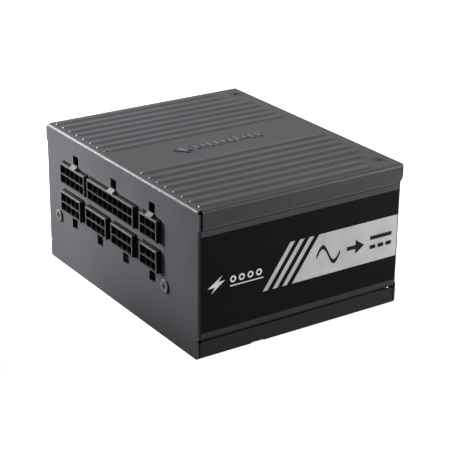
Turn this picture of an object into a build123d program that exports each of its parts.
from build123d import *
import math
import os

# A compact modular computer power supply in the small 125 x 63.5 x 100 mm case.
# Millimetres. +Z is up, the fan side is down at z = 0, the modular sockets face -Y,
# the mains inlet faces +Y, and the origin is under the middle of the case.

# ---- driving dimensions ----
WIDTH = 125.0
DEPTH = 100.0
HEIGHT = 63.5
SHEET = 0.8                       # steel thickness of all three case shells
SEAM = 0.05                       # gap between shells that lie against each other
BEND = 1.3                        # outer bend radius of the folded edges
RIB_HEIGHT = 0.4

HALF_W = WIDTH / 2
HALF_D = DEPTH / 2
TOP = HEIGHT - RIB_HEIGHT         # flat surface of the top plate
UNDER_TOP = TOP - SHEET
FLANGE_LOW = 55.2                 # lower edge of the base shell's side flanges
WALL_X = HALF_W - SHEET - SEAM    # outer face of the inset side walls
WALL_IN = WALL_X - SHEET
PLATE_FLANGE = 7.4                # height of the fan plate's side flanges
WALL_LOW = 8.2                    # lower edge of the side walls, above the seam
PLATE_GAP = 0.6                   # gap from the fan plate to the socket face and to the AC face
FACE_IN = HALF_D - SHEET          # inner face of the socket face and of the AC face
FACE_HALF = WALL_X                # half width of the socket face below the flanges
FACE_CORNER = 1.2                 # radius of the socket face's lower corners
FACE_NICK = 0.6                   # depth of the face's edge nicks at the seam above the fan plate
FLANGE_CORNER = 3.0
PLATE_CORNER = 1.3
LIP_X = 57.0                      # inner edge of the side walls' front lips
LIP_FRONT = -FACE_IN + SEAM
WRAP_TOP = UNDER_TOP - 0.35       # clears the inside radius of the top plate's fold
WRAP_BEND = 0.9
WRAP_SPLIT = HALF_D - 1.0         # the walls end here and the AC face's bends begin
SLIT_BACK = -HALF_D + 2 * SHEET + 0.2  # the flanges begin here, behind an open slit
TAB_LOW = SHEET + 0.1             # underside of the tabs the fan plate is screwed to

# top plate
RIB_PITCH = 6.1
RIB_FIRST = 15.2
RIB_COUNT = 8
RIB_HALF_WIDTH = 2.2
RIB_START = -46.8
PIP_R = 0.85                      # the small dimple that each rib starts from
RIB_ENDS = [45.0, 45.0, 45.0, 45.0, 45.0, 41.0, 37.0, 37.0]
TOP_SCREW = (53.3, 44.7)
PLATE_SCREW = (54.0, 44.0)
COUNTERSINK_R = 3.0
COUNTERSINK_LOW_R = 1.9
SCREW_R = 1.45

# sockets on the -Y face: name, columns of two, centre x, centre z, latch side
PIN_PITCH = 4.2
PIN_SIZE = 1.1
SOCKET_EDGE = 5.4
SOCKET_H = 9.6
SOCKET_PROUD = 2.2
SOCKET_LENGTH = 12.0
SOCKET_GAP = 0.4                  # clearance in the face round each socket
CAVITY = 3.7
CAVITY_KEY = 0.9                  # corner cut of a keyed cavity
CAVITY_FLOOR = 1.8                # thickness of the socket's floor
WEB_RECESS = 0.4                  # how far the webs between columns sit back from the front
RAMP_HALF = 2.1                   # half the width of a latch ramp
UPPER_Z = 45.3
LOWER_Z = 32.2
SOCKETS = [
    ("socket_10_pin", 5, -35.5, UPPER_Z, 1),
    ("socket_18_pin", 9, -2.8, UPPER_Z, 1),
    ("socket_6_pin_upper", 3, 28.0, UPPER_Z, 1),
    ("socket_8_pin_left", 4, -37.7, LOWER_Z, -1),
    ("socket_8_pin_middle", 4, -15.2, LOWER_Z, -1),
    ("socket_8_pin_right", 4, 6.7, LOWER_Z, -1),
    ("socket_6_pin_lower", 3, 27.9, LOWER_Z, -1),
]
LATCH_SLOT_W = 4.7
LATCH_SLOT_TOP = 55.5
LATCH_SLOT_BOTTOM = 21.2
FACE_SCREWS = [(-52.0, 22.8), (37.8, 23.0)]

LABEL = (-48.3, 48.9, 11.2, 51.9)  # y and z limits of the label on the +X wall
LABEL_THICK = 0.15

# fan, under the components, blowing up into the case
FAN_SIZE = 92.0
FAN_HOLES = 41.25
FAN_LOW = 3.6
FAN_HIGH = 18.6
FAN_DUCT_R = 44.6
FAN_BACK = 2.0                    # thickness of the fan's struts and hub plate
GUARD_WIRE_R = 0.75
GUARD_RINGS = (6.0, 13.5, 21.0, 28.5, 36.0, 43.5)
BLADE_TIP_R = 43.6
HUB_R = 18.0
FAN_SHAFT_R = 1.5
BEARING_CLEARANCE = 0.05
BLADES = 9
BLADE_STATIONS = ((HUB_R - 0.7, 15.0, 42.0), (30.0, 18.5, 34.0), (BLADE_TIP_R + 1.5, 21.0, 27.0))
ROTOR_LOW = 4.6
ROTOR_HIGH = 15.6
ROTOR_WALL = 1.3
FAN_OPENING_R = 44.0

# mains inlet and rocker switch on the +Y face
INLET = (-40.0, 31.0)
INLET_CAVITY = (24.0, 16.6)
INLET_BODY = (27.0, 19.6)
INLET_BEZEL = (31.0, 23.6)
INLET_PROUD = 2.2
BLADE_SPACING = 7.0
EARTH_OFFSET = 4.0
SWITCH = (-14.0, 31.0)
SWITCH_BEZEL = (15.0, 21.0)
SWITCH_BODY = (13.6, 19.8)
SWITCH_OPENING = (11.0, 18.6)
SWITCH_PROUD = 1.2
ROCKER_PIVOT_Y = 46.5
ROCKER_TILT = 8.0                 # degrees each way from level
ROCKER_HALF = (5.2, 8.2)
PIVOT_R = 1.2

# mounting holes of the AC face: the standard four-hole pattern
MOUNT_HALF_X = 56.5
MOUNT_Z = (6.0, 57.5)
MOUNT_R = 1.4
HEX_FLAT = 4.4
HEX_PITCH = 5.4

# boards
PCB_LOW = 56.0
PCB = 1.6
BOARD_SCREWS = [(x, y) for x in (-54.5, 54.5) for y in (-40.0, 30.0)]
BOARD_SCREW_R = 1.25
SOCKET_BACK = -HALF_D - SOCKET_PROUD + SOCKET_LENGTH
MODULAR_BACK = SOCKET_BACK + PCB


# ---- helpers ----
def block(x0, x1, y0, y1, z0, z1):
    return Pos((x0 + x1) / 2, (y0 + y1) / 2, (z0 + z1) / 2) * Box(x1 - x0, y1 - y0, z1 - z0)


def post(x, y, z0, z1, r):
    return Pos(x, y, (z0 + z1) / 2) * Cylinder(r, z1 - z0)


def rod_y(x, z, y0, y1, r):
    return Pos(x, (y0 + y1) / 2, z) * Rot(90, 0, 0) * Cylinder(r, y1 - y0)


def rod_x(y, z, x0, x1, r):
    return Pos((x0 + x1) / 2, y, z) * Rot(0, 90, 0) * Cylinder(r, x1 - x0)


def cone_z(x, y, z0, z1, r0, r1):
    """A cone whose radius is r0 at z0 and r1 at z1."""
    return Pos(x, y, (z0 + z1) / 2) * Cone(r0, r1, z1 - z0)


def edges_at(solid, axis, **at):
    """Edges parallel to an axis whose middle lies at the given coordinates."""
    found = []
    for edge in solid.edges().filter_by(axis):
        middle = edge.center()
        if all(abs(abs(getattr(middle, k.upper())) - v) < 0.02 for k, v in at.items()):
            found.append(edge)
    return found


def union(parts):
    whole = parts[0]
    for part in parts[1:]:
        whole = whole + part
    return whole


def mirrored_x(solid):
    return solid.mirror(Plane.YZ)


def save(name, solids):
    items = solids if isinstance(solids, list) else [solids]
    pieces = []
    for item in items:
        pieces.extend(item.solids())
    shape = pieces[0] if len(pieces) == 1 else Compound(children=pieces)
    shape.label = name
    export_step(shape, f"parts/{name}.step")


def cross_recess(depth, arm=3.2, width=0.75):
    """The tool that cuts a cross drive downwards from z = 0."""
    bar = block(-arm / 2, arm / 2, -width / 2, width / 2, -depth, 0.5)
    return bar + Rot(0, 0, 90) * bar


def countersunk_screw(length):
    """A flat-head screw with its head's top at z = 0 and its shank down -Z."""
    head = cone_z(0, 0, -SHEET, 0, COUNTERSINK_LOW_R, COUNTERSINK_R)
    shank = post(0, 0, -length, -SHEET, SCREW_R)
    return head + shank - cross_recess(SHEET + 0.3)


def countersink_tool():
    gap = 0.05
    return cone_z(0, 0, -SHEET - 0.01, 0.01, COUNTERSINK_LOW_R + gap, COUNTERSINK_R + gap)


def pan_screw(length, head_r=2.8, head_h=1.1, shank_r=SCREW_R, crown=0.8, recess=0.9):
    """A pan-head screw with its head on z = 0 to head_h and its shank down -Z."""
    head = post(0, 0, 0, head_h, head_r)
    head = fillet(head.edges().group_by(Axis.Z)[-1], crown)
    shank = post(0, 0, -length, 0, shank_r)
    return head + shank - Pos(0, 0, head_h) * cross_recess(recess)


# ---- case ----
def rib(x, end):
    """One pressed rib of the top plate: a long dome that starts from a small steep pip."""
    radius = (RIB_HALF_WIDTH ** 2 + RIB_HEIGHT ** 2) / (2 * RIB_HEIGHT)
    centre_z = HEIGHT - radius
    run = rod_y(x, centre_z, RIB_START + RIB_HALF_WIDTH, end - RIB_HALF_WIDTH, radius)
    near = Pos(x, RIB_START + RIB_HALF_WIDTH, centre_z) * Sphere(radius)
    far = Pos(x, end - RIB_HALF_WIDTH, centre_z) * Sphere(radius)
    cut = block(x - 3, x + 3, RIB_START - 1, end + 1, TOP - SHEET / 2, HEIGHT + 1)
    pip_cut = block(x - 3, x + 3, RIB_START - 3, RIB_START + 3, TOP - SHEET / 2, HEIGHT + 1)
    pip = Pos(x, RIB_START + PIP_R / 2, HEIGHT - PIP_R) * Sphere(PIP_R)
    return ((run + near + far) & cut) + (pip & pip_cut)


def emblem():
    """A generic pressed ornament along the middle of the top plate: a leaf and a row of lozenges and bars."""
    raised = RIB_HEIGHT * 0.75
    leaf = Polyline((-1.0, -22.0), (4.6, -17.0), (1.6, -17.4), (3.0, -14.6), (-3.8, -18.6), (-1.4, -18.8),
                    close=True)
    outlines = [leaf]
    count, pitch, half = 10, 3.5, 2.5
    for i in range(count):
        y = -11.4 + i * pitch
        corners = [(-half, y - 1.5), (half, y - 0.4), (half, y + 0.8), (-half, y - 0.3)]
        if i % 3 == 1:
            corners = [(-half, y), (0, y - 1.2), (half, y), (0, y + 1.2)]
        outlines.append(Polyline(*corners, close=True))
    return [Pos(0, 0, TOP - 0.2) * extrude(make_face(outline), 0.2 + raised) for outline in outlines]


def socket_width(columns):
    return (columns - 1) * PIN_PITCH + SOCKET_EDGE


def face_openings():
    """Everything cut through the socket face."""
    cuts = []
    y0, y1 = -HALF_D - 1, -FACE_IN + 1
    for _, columns, x, z, side in SOCKETS:
        half = socket_width(columns) / 2 + SOCKET_GAP
        tall = SOCKET_H / 2 + SOCKET_GAP
        cuts.append(block(x - half, x + half, y0, y1, z - tall, z + tall))
        ends = (z, LATCH_SLOT_TOP) if side > 0 else (LATCH_SLOT_BOTTOM, z)
        cuts.append(block(x - LATCH_SLOT_W / 2, x + LATCH_SLOT_W / 2, y0, y1, *ends))
    for x, z in FACE_SCREWS:
        cuts.append(rod_y(x, z, y0, y1, 1.7))
    return cuts


def folded_tab(x0, x1, y0, y1, z0):
    return block(x0, x1, y0, y1, z0, z0 + SHEET)


def base_shell():
    """Top plate, full socket face and two side flanges, folded from one sheet."""
    corner = HALF_W - BEND
    top_outer = block(-HALF_W, HALF_W, SLIT_BACK, HALF_D, FLANGE_LOW, TOP)
    top_outer = fillet(edges_at(top_outer, Axis.Y, x=HALF_W, z=TOP), BEND)
    top_outer = fillet(edges_at(top_outer, Axis.X, y=HALF_D, z=FLANGE_LOW), FLANGE_CORNER)
    top_inner = block(-HALF_W + SHEET, HALF_W - SHEET, SLIT_BACK - 1, HALF_D + 1, FLANGE_LOW - 1, UNDER_TOP)
    top_inner = fillet(edges_at(top_inner, Axis.Y, x=HALF_W - SHEET, z=UNDER_TOP), BEND - SHEET)
    front_outer = block(-corner, corner, -HALF_D, SLIT_BACK + 2, 40, TOP)
    front_outer = fillet(edges_at(front_outer, Axis.X, y=HALF_D, z=TOP), BEND)
    front_inner = block(-HALF_W, HALF_W, -FACE_IN, SLIT_BACK + 3, 39, UNDER_TOP)
    front_inner = fillet(edges_at(front_inner, Axis.X, y=FACE_IN, z=UNDER_TOP), BEND - SHEET)
    face = block(-FACE_HALF, FACE_HALF, -HALF_D, -FACE_IN, 0, FLANGE_LOW + 1)
    face = fillet(edges_at(face, Axis.Y, x=FACE_HALF, z=0), FACE_CORNER)
    face = face + block(-HALF_W, HALF_W, -HALF_D, -FACE_IN, FLANGE_LOW, TOP - BEND)
    shell = (top_outer - top_inner) + (front_outer - front_inner) + face
    for side in (-1, 1):
        for i in range(RIB_COUNT):
            shell = shell + rib(side * (RIB_FIRST + i * RIB_PITCH), RIB_ENDS[i])
        x = side * PLATE_SCREW[0]
        tab = folded_tab(x - 6, x + 6, -FACE_IN - 0.2, -PLATE_SCREW[1] + 5.5, TAB_LOW)
        shell = shell + (tab - post(x, -PLATE_SCREW[1], 0, 4, SCREW_R))
        shell = shell - Pos(side * TOP_SCREW[0], TOP_SCREW[1], TOP) * countersink_tool()
        nick = sorted((side * (FACE_HALF - FACE_NICK), side * HALF_W))
        shell = shell - block(*nick, -HALF_D - 1, -FACE_IN + 1, PLATE_FLANGE - 0.2, WALL_LOW + 0.3)
    for bar in emblem():
        shell = shell + bar
    return shell - union(face_openings())


def hex_grille():
    """Hexagonal exhaust holes of the AC face, clear of the inlet, switch and screws."""
    rise = HEX_PITCH * math.sqrt(3) / 2
    rows, columns = 10, 19
    first_z = 8.6
    places = []
    for row in range(rows):
        z = first_z + row * rise
        shift = HEX_PITCH / 2 if row % 2 else 0.0
        for column in range(columns):
            x = (column - (columns - 1) / 2) * HEX_PITCH + shift
            near_parts = INLET[0] - 20.5 < x < SWITCH[0] + 11.5 and 14.5 < z < 47.5
            near_corner = abs(x) > 48.0 and (z < 13.5 or z > 50.0)
            if not near_parts and not near_corner and abs(x) < 53.5:
                places.append((x, z))
    hexagon = Rot(90, 0, 0) * extrude(RegularPolygon(HEX_FLAT / 2, 6, major_radius=False, rotation=30), 4)
    return [Pos(x, HALF_D + 1.5, z) * hexagon for x, z in places]


def side_wrap():
    """The folded sheet of two side walls and the AC face, before its holes: a U with front lips."""
    outer = block(-WALL_X, WALL_X, LIP_FRONT, HALF_D, WALL_LOW, WRAP_TOP)
    outer = fillet(edges_at(outer, Axis.Z, x=WALL_X), WRAP_BEND)
    inner = block(-WALL_IN, WALL_IN, LIP_FRONT + SHEET, FACE_IN, 0, HEIGHT)
    return outer - inner - block(-LIP_X, LIP_X, -HALF_D, -FACE_IN + 2, 0, HEIGHT)


def side_wall(side):
    """One side wall, from its front lip to the bend of the AC face."""
    span = sorted((side * (LIP_X - 1), side * HALF_W))
    wall = side_wrap() & block(*span, -HALF_D, WRAP_SPLIT, 0, HEIGHT)
    return wall - block(*span, -HALF_D, -HALF_D + 2.6, FLANGE_LOW - 0.7, HEIGHT)


def ac_face():
    """The AC face with its foot, its bends, four screw tabs and all its openings."""
    face = side_wrap() & block(-HALF_W, HALF_W, WRAP_SPLIT, HALF_D + 1, 0, HEIGHT)
    foot = block(-WALL_X, WALL_X, FACE_IN, HALF_D, 0, WALL_LOW + 1)
    face = face + fillet(edges_at(foot, Axis.Y, x=WALL_X, z=0), 1.5)
    for side in (-1, 1):
        x, y = side * TOP_SCREW[0], TOP_SCREW[1]
        tab = folded_tab(x - 5.5, x + 5.5, y - 5.0, FACE_IN + 0.2, WRAP_TOP - SHEET)
        face = face + (tab - post(x, y, UNDER_TOP - 4, UNDER_TOP, SCREW_R))
        x, y = side * PLATE_SCREW[0], PLATE_SCREW[1]
        tab = folded_tab(x - 6, x + 6, y - 5.5, FACE_IN + 0.2, TAB_LOW)
        face = face + (tab - post(x, y, 0, 4, SCREW_R))
    cuts = hex_grille()
    y0, y1 = FACE_IN - 1, HALF_D + 1
    for (x, z), (width, tall) in ((INLET, INLET_BODY), (SWITCH, SWITCH_BODY)):
        cuts.append(block(x - width / 2, x + width / 2, y0, y1, z - tall / 2, z + tall / 2))
    for side in (-1, 1):
        for z in MOUNT_Z:
            cuts.append(rod_y(side * MOUNT_HALF_X, z, y0, y1, MOUNT_R))
    return face - Compound(children=cuts)


def fan_plate():
    """The removable plate over the fan, with two low flanges."""
    end = FACE_IN - PLATE_GAP
    plate = block(-WALL_X, WALL_X, -end, end, 0, PLATE_FLANGE)
    plate = fillet(edges_at(plate, Axis.Y, x=WALL_X, z=0), BEND)
    plate = fillet(edges_at(plate, Axis.X, y=end, z=PLATE_FLANGE), PLATE_CORNER)
    inner = block(-WALL_IN, WALL_IN, -HALF_D, HALF_D, SHEET, HEIGHT)
    inner = fillet(edges_at(inner, Axis.Y, x=WALL_IN, z=SHEET), BEND - SHEET)
    plate = plate - inner - post(0, 0, -1, 2, FAN_OPENING_R)
    for sx in (-1, 1):
        for sy in (-1, 1):
            for x, y in (PLATE_SCREW, (FAN_HOLES, FAN_HOLES)):
                plate = plate - Pos(sx * x, sy * y, 0) * Rot(180, 0, 0) * countersink_tool()
        notch_x = sx * WALL_X
        plate = plate - block(notch_x - 2.4, notch_x + 2.4, -24.0, -17.5, -1, 0.9)
    return plate


def fan_guard():
    """Welded wire guard between the plate and the fan, with four screw eyes."""
    ring_z, spoke_z = 2.55, 1.62
    rings = [Pos(0, 0, ring_z) * Torus(r, GUARD_WIRE_R) for r in GUARD_RINGS]
    spokes = []
    eye_x = FAN_HOLES * math.sqrt(2)
    for i in range(4):
        spoke = rod_x(0, spoke_z, GUARD_RINGS[0] - 0.4, eye_x - 3.0, GUARD_WIRE_R)
        spokes.append(Rot(0, 0, 45 + 90 * i) * spoke)
        eye = post(0, 0, SHEET + SEAM, FAN_LOW - SEAM, 3.6) - post(0, 0, 0, 4, 2.0)
        spokes.append(Rot(0, 0, 45 + 90 * i) * (Pos(eye_x, 0, 0) * eye))
    return union(rings + spokes)


# ---- fan ----
def fan_frame():
    """Square slim frame with a round duct, four struts and the tube that holds the bearing."""
    half = FAN_SIZE / 2
    back = FAN_HIGH - FAN_BACK
    body = block(-half, half, -half, half, FAN_LOW, FAN_HIGH)
    body = fillet(edges_at(body, Axis.Z, x=half), 3.0)
    body = body - post(0, 0, FAN_LOW - 1, FAN_HIGH + 1, FAN_DUCT_R)
    for sx in (-1, 1):
        for sy in (-1, 1):
            body = body - post(sx * FAN_HOLES, sy * FAN_HOLES, FAN_LOW - 1, FAN_HIGH + 1, 1.9)
    hub = post(0, 0, back, FAN_HIGH, HUB_R - 0.4)
    tube = post(0, 0, 7.0, back + 0.4, 4.4)
    strut = block(HUB_R - 2, FAN_DUCT_R + 1.0, -1.6, 1.6, back, FAN_HIGH)
    struts = [Rot(0, 0, 20 + 90 * i) * strut for i in range(4)]
    body = body + union([hub, tube] + struts)
    return body - post(0, 0, 6.0, back + 1.0, 3.0)


def fan_blade():
    """One twisted blade, lofted from root to tip."""
    sections = []
    for radius, chord, angle in BLADE_STATIONS:
        plane = Plane(origin=(radius, 0, 10.3), x_dir=(0, 1, 0), z_dir=(1, 0, 0))
        sections.append(plane * Rot(0, 0, angle) * SlotOverall(chord, 1.2))
    blade = loft(sections)
    keep = post(0, 0, 5.2, ROTOR_HIGH - 0.2, BLADE_TIP_R) - post(0, 0, 0, 20, HUB_R - 0.6)
    return blade & keep


def fan_rotor():
    """The motor's cup, open upwards, with its blades."""
    floor = ROTOR_LOW + 1.2
    cup = post(0, 0, ROTOR_LOW, ROTOR_HIGH, HUB_R) - post(0, 0, floor, ROTOR_HIGH + 1, HUB_R - ROTOR_WALL)
    cup = fillet(cup.edges().filter_by(GeomType.CIRCLE).group_by(Axis.Z)[0], 0.9)
    boss = post(0, 0, floor - 0.4, floor + 1.0, 3.6)
    blade = fan_blade()
    rotor = cup + boss - post(0, 0, 5.0, 8.0, FAN_SHAFT_R)
    return union([rotor] + [Rot(0, 0, i * 360 / BLADES) * blade for i in range(BLADES)])


def fan_stator():
    poles = post(0, 0, 8.6, 13.4, 9.0)
    for i in range(4):
        poles = poles + Rot(0, 0, 45 + 90 * i) * block(4, 13.0, -2.4, 2.4, 8.0, 14.0)
        shoe = (post(0, 0, 8.0, 14.0, 14.6) - post(0, 0, 7, 15, 12.6)) & block(8, 16, -8.5, 8.5, 7, 15)
        poles = poles + Rot(0, 0, 45 + 90 * i) * shoe
    return poles - post(0, 0, 7, 15, 4.45)


def wire(points, radii, r):
    path = FilletPolyline(*points, radius=radii)
    start = Plane(origin=path @ 0, z_dir=path % 0)
    return sweep(start * Circle(r), path=path)


# ---- sockets ----
def cavity_centres(columns):
    span = (columns - 1) * PIN_PITCH / 2
    return [(-span + i * PIN_PITCH, side * PIN_PITCH / 2) for i in range(columns) for side in (-1, 1)]


def keyed(column, row):
    """Which cavities have cut corners, so that a plug goes in one way only."""
    return (column + (row > 0)) % 3 != 0


def socket(columns, x, z, side):
    """A two-row socket; its latch ramp is above it (side 1) or below it (side -1)."""
    half = socket_width(columns) / 2
    front = -HALF_D - SOCKET_PROUD
    body = block(-half, half, front, SOCKET_BACK, -SOCKET_H / 2, SOCKET_H / 2)
    body = fillet(body.edges().filter_by(Axis.Y), 0.5)
    body = chamfer(body.faces().sort_by(Axis.Y)[0].edges(), 0.25)
    top = SOCKET_H / 2
    profile = Polyline((front + 0.1, top - 0.3), (front + 1.7, top + 1.3), (front + 2.2, top + 1.3),
                       (front + 2.2, top - 0.3), close=True)
    ramp = extrude(Plane.YZ * make_face(profile), RAMP_HALF, both=True)
    behind_face = -FACE_IN + 0.1
    guard = block(RAMP_HALF + 0.5, RAMP_HALF + 1.3, behind_face, SOCKET_BACK, top - 0.3, top + 0.9)
    cuts = []
    row_half = ((columns - 1) * PIN_PITCH + CAVITY) / 2
    row = block(-row_half, row_half, front - 1, front + WEB_RECESS, -CAVITY / 2, CAVITY / 2)
    for cz in (-PIN_PITCH / 2, PIN_PITCH / 2):
        cuts.append(Pos(0, 0, cz) * row)
    for index, (cx, cz) in enumerate(cavity_centres(columns)):
        shape = Rectangle(CAVITY, CAVITY)
        if keyed(index // 2, cz):
            shape = chamfer(shape.vertices().group_by(Axis.Y)[-1], CAVITY_KEY)
        depth = SOCKET_LENGTH - CAVITY_FLOOR
        cuts.append(Pos(cx, front + depth, cz) * extrude(Plane.XZ * shape, depth))
        cuts.append(block(cx - PIN_SIZE / 2, cx + PIN_SIZE / 2, -45, SOCKET_BACK + 1,
                          cz - PIN_SIZE / 2, cz + PIN_SIZE / 2))
    whole = body + ramp - Compound(children=cuts)
    if columns > 3:
        whole = whole + guard + mirrored_x(guard)
    if side < 0:
        whole = Rot(0, 180, 0) * whole
    return Pos(x, 0, z) * whole


def socket_pins():
    pins = []
    for _, columns, x, z, _ in SOCKETS:
        for cx, cz in cavity_centres(columns):
            pins.append(block(x + cx - PIN_SIZE / 2, x + cx + PIN_SIZE / 2, -50.2, MODULAR_BACK + 1.2,
                              z + cz - PIN_SIZE / 2, z + cz + PIN_SIZE / 2))
    return pins


def modular_pcb():
    board = block(-56.0, 44.0, SOCKET_BACK, MODULAR_BACK, 19.8, 54.5)
    cuts = [rod_y(x, z, SOCKET_BACK - 1, MODULAR_BACK + 1, 1.5) for x, z in FACE_SCREWS]
    for _, columns, x, z, _ in SOCKETS:
        for cx, cz in cavity_centres(columns):
            cuts.append(rod_y(x + cx, z + cz, SOCKET_BACK - 1, MODULAR_BACK + 1, 0.85))
    return board - Compound(children=cuts)


def modular_standoffs():
    posts = []
    for x, z in FACE_SCREWS:
        stud = rod_y(x, z, -FACE_IN, SOCKET_BACK, 2.6) - rod_y(x, z, -FACE_IN - 1, -42.8, SCREW_R)
        posts.append(stud + rod_y(x, z, SOCKET_BACK, MODULAR_BACK + 0.6, 1.5))
    return posts


def modular_busbars():
    bars = []
    for x in (-46.0, -32.0, -18.0, 10.0, 24.0, 38.0):
        strap = block(x - 4, x + 4, MODULAR_BACK, MODULAR_BACK + 1.0, 51.0, PCB_LOW)
        foot = block(x - 4, x + 4, MODULAR_BACK, MODULAR_BACK + 5.0, PCB_LOW - 1.0, PCB_LOW)
        bars.append(strap + foot)
    return bars


# ---- mains side ----
def inlet_cavity(y0, y1, shrink=0.0):
    """The connector-shaped hollow, with the two corners on the earth side cut off."""
    w, h = INLET_CAVITY[0] / 2 - shrink, INLET_CAVITY[1] / 2 - shrink
    cut = 5.0
    outline = Polyline((-w, -h), (w, -h), (w, h - cut), (w - cut, h), (-w + cut, h), (-w, h - cut),
                       close=True)
    hollow = extrude(Plane.XZ * make_face(outline), y1 - y0)
    return Pos(INLET[0], y1, INLET[1]) * hollow


def inlet_housing():
    x, z = INLET
    bw, bh = INLET_BODY[0] / 2 - 0.05, INLET_BODY[1] / 2 - 0.05
    fw, fh = INLET_BEZEL[0] / 2, INLET_BEZEL[1] / 2
    bezel = block(x - fw, x + fw, HALF_D, HALF_D + INLET_PROUD, z - fh, z + fh)
    bezel = fillet([e for e in bezel.edges().filter_by(Axis.Y)], 2.4)
    bezel = fillet(bezel.edges().group_by(Axis.Y)[-1], 0.7)
    body = block(x - bw, x + bw, 33.5, HALF_D, z - bh, z + bh)
    body = fillet(body.edges().filter_by(Axis.Y), 1.5)
    housing = bezel + body - inlet_cavity(36.0, HALF_D + 5)
    for bx, bz in inlet_blade_places():
        housing = housing - block(bx - 1.0, bx + 1.0, 30, 40, bz - 2.0, bz + 2.0)
    return housing


def inlet_blade_places():
    x, z = INLET
    low = z - EARTH_OFFSET / 2
    return [(x - BLADE_SPACING, low), (x + BLADE_SPACING, low), (x, z + EARTH_OFFSET / 2)]


def inlet_blades():
    blades = []
    for bx, bz in inlet_blade_places():
        blade = block(bx - 1.0, bx + 1.0, 25.0, HALF_D - 0.5, bz - 2.0, bz + 2.0)
        blades.append(chamfer(blade.edges().group_by(Axis.Y)[-1], 0.5))
    return blades


def switch_housing():
    x, z = SWITCH
    fw, fh = SWITCH_BEZEL[0] / 2, SWITCH_BEZEL[1] / 2
    bw, bh = SWITCH_BODY[0] / 2 - 0.05, SWITCH_BODY[1] / 2 - 0.05
    ow, oh = SWITCH_OPENING[0] / 2, SWITCH_OPENING[1] / 2
    bezel = block(x - fw, x + fw, HALF_D, HALF_D + SWITCH_PROUD, z - fh, z + fh)
    bezel = fillet(bezel.edges().filter_by(Axis.Y), 1.2)
    bezel = fillet(bezel.edges().group_by(Axis.Y)[-1], 0.4)
    body = block(x - bw, x + bw, 36.0, HALF_D, z - bh, z + bh)
    hollow = block(x - ow, x + ow, 42.6, HALF_D + 5, z - oh, z + oh)
    pivots = rod_x(ROCKER_PIVOT_Y, z, x - ow - 1.05, x + ow + 1.05, PIVOT_R + BEARING_CLEARANCE)
    housing = bezel + body - hollow - pivots
    for dz in (-6.0, 0.0, 6.0):
        housing = housing - block(x - 2.4, x + 2.4, 35, 41, z + dz - 0.4, z + dz + 0.4)
    return housing


def switch_terminals():
    x, z = SWITCH
    return [block(x - 2.4, x + 2.4, 29.0, 41.0, z + dz - 0.4, z + dz + 0.4) for dz in (-6.0, 0.0, 6.0)]


def switch_rocker():
    """The rocker, modelled level about its pivot and then turned to its ON stop, top end in."""
    tilt = math.radians(ROCKER_TILT)
    flush = HALF_D + SWITCH_PROUD - ROCKER_PIVOT_Y
    half = ROCKER_HALF[1]
    middle = flush / math.cos(tilt)
    raised = (flush + half * math.sin(tilt)) / math.cos(tilt)
    outline = Polyline((-1.6, -half + 0.6), (raised, -half), (middle, 0), (raised, half), (-1.6, half - 0.6),
                       close=True)
    rocker = extrude(Plane.YZ * make_face(outline), ROCKER_HALF[0], both=True)
    rocker = fillet(edges_at(rocker, Axis.X, z=half), 0.5)
    pin = rod_x(0, 0, -SWITCH_OPENING[0] / 2 - 0.9, SWITCH_OPENING[0] / 2 + 0.9, PIVOT_R)
    rocker = rocker + pin
    return Pos(SWITCH[0], ROCKER_PIVOT_Y, SWITCH[1]) * Rot(ROCKER_TILT, 0, 0) * rocker


def riser(x, y, z, lean=2.5):
    """An insulated wire from a terminal's end, back and up to the board."""
    back = y - 4.0
    return wire([(x, y, z), (x, back, z), (x, back, PCB_LOW)], lean, 1.1)


# ---- board and components, hanging from the board under the top plate ----
def main_pcb():
    board = block(-59.0, 59.0, -47.5, 48.2, PCB_LOW, PCB_LOW + PCB)
    for x, y in BOARD_SCREWS:
        board = board - post(x, y, PCB_LOW - 1, PCB_LOW + PCB + 1, BOARD_SCREW_R + 0.25)
    return board


def pcb_standoffs():
    return [post(x, y, PCB_LOW + PCB, UNDER_TOP, 3.0) - post(x, y, PCB_LOW, UNDER_TOP - 0.6, BOARD_SCREW_R)
            for x, y in BOARD_SCREWS]


def pcb_screws():
    screw = pan_screw(5.4, head_r=2.6, head_h=1.4, shank_r=BOARD_SCREW_R)
    return [Pos(x, y, PCB_LOW) * Rot(180, 0, 0) * screw for x, y in BOARD_SCREWS]


def ring_core(x, y, z, outer, inner, thick, turn):
    return Pos(x, y, z) * turn * (Cylinder(outer, thick) - Cylinder(inner, thick + 1))


def ring_winding(x, y, z, outer, inner, thick, turns, gauge, turn, skip=0):
    """Separate wire loops round a ring core, as flat bands that hug it."""
    loops = []
    middle = (outer + inner) / 2
    for i in range(turns):
        if skip and i % skip == 0:
            continue
        deep, tall = (outer - inner) / 2, thick / 2
        band = Box(2 * (deep + gauge), gauge, 2 * (tall + gauge)) - Box(2 * deep + 0.06, gauge * 2, 2 * tall)
        loops.append(Pos(x, y, z) * turn * (Rot(0, 0, i * 360 / turns) * (Pos(middle, 0, 0) * band)))
    return loops


def heatsink(x0, x1, y0, y1, z0, z1, fin, side):
    """An aluminium plate with fins along its lower part."""
    body = block(x0, x1, y0, y1, z0, z1)
    for i in range(5):
        z = z0 + 1.0 + i * 2.6
        edge = x0 if side < 0 else x1
        body = body + block(min(edge, edge + side * fin), max(edge, edge + side * fin), y0, y1, z, z + 0.9)
    return body


def capacitor(x, y, r, low, rise=0.4):
    can = post(x, y, low, PCB_LOW - rise, r)
    can = fillet(can.edges().filter_by(GeomType.CIRCLE), min(0.8, r / 5))
    return can


def output_capacitors():
    cans = []
    for i in range(4):
        for j in range(3):
            cans.append(capacitor(35.0 + j * 9.5, -28.0 + i * 9.6, 4.0, 41.0))
    return cans


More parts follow.
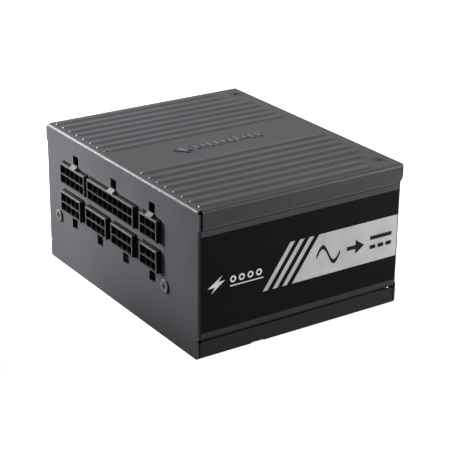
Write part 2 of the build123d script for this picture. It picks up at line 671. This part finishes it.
def dc_dc_modules():
    boards = []
    for y in (14.0, 28.0):
        card = block(31.0, 51.0, y, y + 1.2, 30.0, PCB_LOW)
        for i in range(2):
            x = 36.0 + i * 10.0
            card = card + block(x - 4.0, x + 4.0, y - 5.5, y, 33.0, 43.0)
        boards.append(card)
    return boards


def controller_board():
    card = block(19.0, 20.2, -33.0, -12.0, 36.0, PCB_LOW)
    for z in (39.0, 47.0):
        card = card + block(20.2, 21.8, -27.0, -19.0, z, z + 5.0)
    return card


def build():
    os.makedirs("parts", exist_ok=True)
    horizontal = Rot(0, 90, 0)
    across = Rot(90, 0, 0)

    # case
    save("base_shell", base_shell())
    save("wall_left", side_wall(-1))
    save("wall_right", side_wall(1))
    save("ac_face", ac_face())
    save("fan_plate", fan_plate())
    save("side_label", block(WALL_X, WALL_X + LABEL_THICK, *LABEL))
    save("insulation_sheet", block(-50.0, 50.0, -46.0, 38.0, 61.0, 61.4))
    flat_screw = countersunk_screw(4.6)
    save("top_screws", [Pos(s * TOP_SCREW[0], TOP_SCREW[1], TOP) * flat_screw for s in (-1, 1)])
    up_screw = Rot(180, 0, 0) * flat_screw
    save("fan_plate_screws", [Pos(sx * PLATE_SCREW[0], sy * PLATE_SCREW[1], 0) * up_screw
                              for sx in (-1, 1) for sy in (-1, 1)])
    face_screw = Rot(90, 0, 0) * pan_screw(6.2, head_h=0.7, crown=0.3, recess=0.65)
    save("face_screws", [Pos(x, -HALF_D, z) * face_screw for x, z in FACE_SCREWS])

    # fan
    save("fan_guard", fan_guard())
    save("fan_frame", fan_frame())
    save("fan_rotor", fan_rotor())
    magnet_r = HUB_R - ROTOR_WALL - SEAM
    save("fan_magnet", post(0, 0, 6.4, 14.6, magnet_r) - post(0, 0, 6, 15, magnet_r - 1.55))
    save("fan_shaft", post(0, 0, 5.0, 16.4, FAN_SHAFT_R))
    save("fan_bearing", post(0, 0, 7.2, 16.6, 3.0) - post(0, 0, 7, 17, FAN_SHAFT_R + BEARING_CLEARANCE))
    save("fan_stator", fan_stator())
    long_screw = Rot(180, 0, 0) * countersunk_screw(11.0)
    save("fan_screws", [Pos(sx * FAN_HOLES, sy * FAN_HOLES, 0) * long_screw
                        for sx in (-1, 1) for sy in (-1, 1)])
    save("fan_lead", wire([(8.0, 12.0, FAN_HIGH + 1.0), (24.0, 44.0, FAN_HIGH + 1.0), (24.0, 44.0, PCB_LOW)],
                          [5.0], 0.9))

    # sockets
    for name, columns, x, z, side in SOCKETS:
        save(name, socket(columns, x, z, side))
    save("socket_pins", socket_pins())
    save("modular_pcb", modular_pcb())
    save("modular_standoffs", modular_standoffs())
    save("modular_busbars", modular_busbars())

    # mains side
    save("inlet_housing", inlet_housing())
    save("inlet_blades", inlet_blades())
    save("switch_housing", switch_housing())
    save("switch_rocker", switch_rocker())
    save("switch_terminals", switch_terminals())
    places = inlet_blade_places()
    for name, (x, z) in zip(("live_wire", "neutral_wire", "earth_wire"), places):
        save(name, riser(x, 25.0, z))
    save("switch_leads", [riser(SWITCH[0] + dx, 29.0, SWITCH[1] + dz)
                          for dx, dz in ((-1.3, -6.0), (1.3, 6.0))])

    # board and components
    save("main_pcb", main_pcb())
    save("pcb_standoffs", pcb_standoffs())
    save("pcb_screws", pcb_screws())
    save("choke_core", ring_core(-50.0, 7.0, 44.5, 9.0, 5.2, 8.0, horizontal))
    save("choke_winding", ring_winding(-50.0, 7.0, 44.5, 9.0, 5.2, 8.0, 20, 1.0, horizontal, skip=10))
    save("x_capacitor", fillet(block(-40.5, -31.5, -6.0, 17.0, 39.0, PCB_LOW - 0.3).edges(), 0.6))
    save("y_capacitors", [rod_x(y, 50.0, -54.0, -51.0, 4.0) for y in (-7.0, -16.0)])
    save("bridge_rectifier", block(-28.6, -24.0, -18.0, 4.0, 37.0, 52.0))
    save("primary_heatsink", heatsink(-24.0, -21.5, -20.0, 24.0, 23.0, PCB_LOW, 3.5, -1))
    save("power_transistors", [block(-21.5, -17.0, y, y + 10, 37.0, 52.0) for y in (-14.0, -1.0, 12.0)])
    save("pfc_core", ring_core(-42.0, -27.5, 39.5, 13.0, 7.5, 9.0, across))
    save("pfc_winding", ring_winding(-42.0, -27.5, 39.5, 13.0, 7.5, 9.0, 24, 1.2, across))
    save("bulk_capacitor", capacitor(-4.0, -21.5, 12.5, 21.5))
    save("transformer_core", block(-11.0, 17.0, -3.0, 25.0, 31.0, PCB_LOW - 2.0)
         - block(-8.5, 14.5, -4.0, 26.0, 35.0, 50.0))
    save("transformer_winding", block(-8.5, 14.5, -5.0, 27.0, 35.0, 50.0))
    save("standby_transformer", block(-4.0, 11.0, 30.0, 44.0, 41.0, PCB_LOW))
    save("secondary_heatsink", heatsink(25.0, 27.0, -10.0, 36.0, 24.0, PCB_LOW, 3.0, -1))
    save("output_capacitors", output_capacitors())
    save("dc_dc_modules", dc_dc_modules())
    save("controller_board", controller_board())


build()
